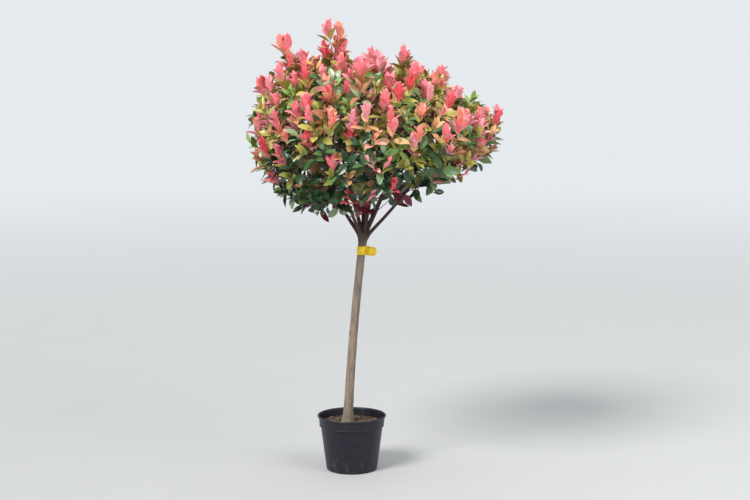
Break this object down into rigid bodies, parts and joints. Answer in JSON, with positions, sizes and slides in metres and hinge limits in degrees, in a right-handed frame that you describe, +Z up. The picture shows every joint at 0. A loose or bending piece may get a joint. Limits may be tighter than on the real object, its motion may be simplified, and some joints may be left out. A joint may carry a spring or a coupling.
{
  "type": "red-tipped photinia standard in a nursery pot",
  "caption": "Small evergreen tree trained as a ball on one clear stem, with coral-red young leaves over green ones, in a plain black pot of potting mix.",
  "frame": {"origin": "centre of the pot's flat underside", "axes": "+Z up, -Y towards the side that the picture shows, +X to the right there"},
  "size_m": [1.0446, 1.0445, 1.9235],
  "materials": {
    "black_plastic": "black moulded plastic, satin, dusty",
    "potting_mix": "loose bark and peat, matt",
    "bark": "grey-brown bark with fine cracks, matt",
    "young_bark": "smooth dark red-brown bark",
    "yellow_plastic": "plain yellow strip, satin",
    "green_leaves": "glossy dark green leaves",
    "red_leaves": "coral-red young leaves, satin"
  },
  "bodies": {
    "root": {"bough_high_1": "young_bark", "bough_high_2": "young_bark", "bough_high_3": "young_bark", "bough_high_4": "young_bark", "bough_low_1": "young_bark", "bough_low_2": "young_bark", "bough_low_3": "young_bark", "bough_low_4": "young_bark", "bough_top": "young_bark", "foliage_high_1": "red_leaves", "foliage_high_2": "red_leaves", "foliage_high_3": "red_leaves", "foliage_high_4": "red_leaves", "foliage_low_1": "green_leaves", "foliage_low_2": "green_leaves", "foliage_low_3": "green_leaves", "foliage_low_4": "green_leaves", "foliage_top": "red_leaves", "label": "yellow_plastic", "pot": "black_plastic", "potting_mix": "potting_mix", "stem": "bark"}
  },
  "joints": []
}
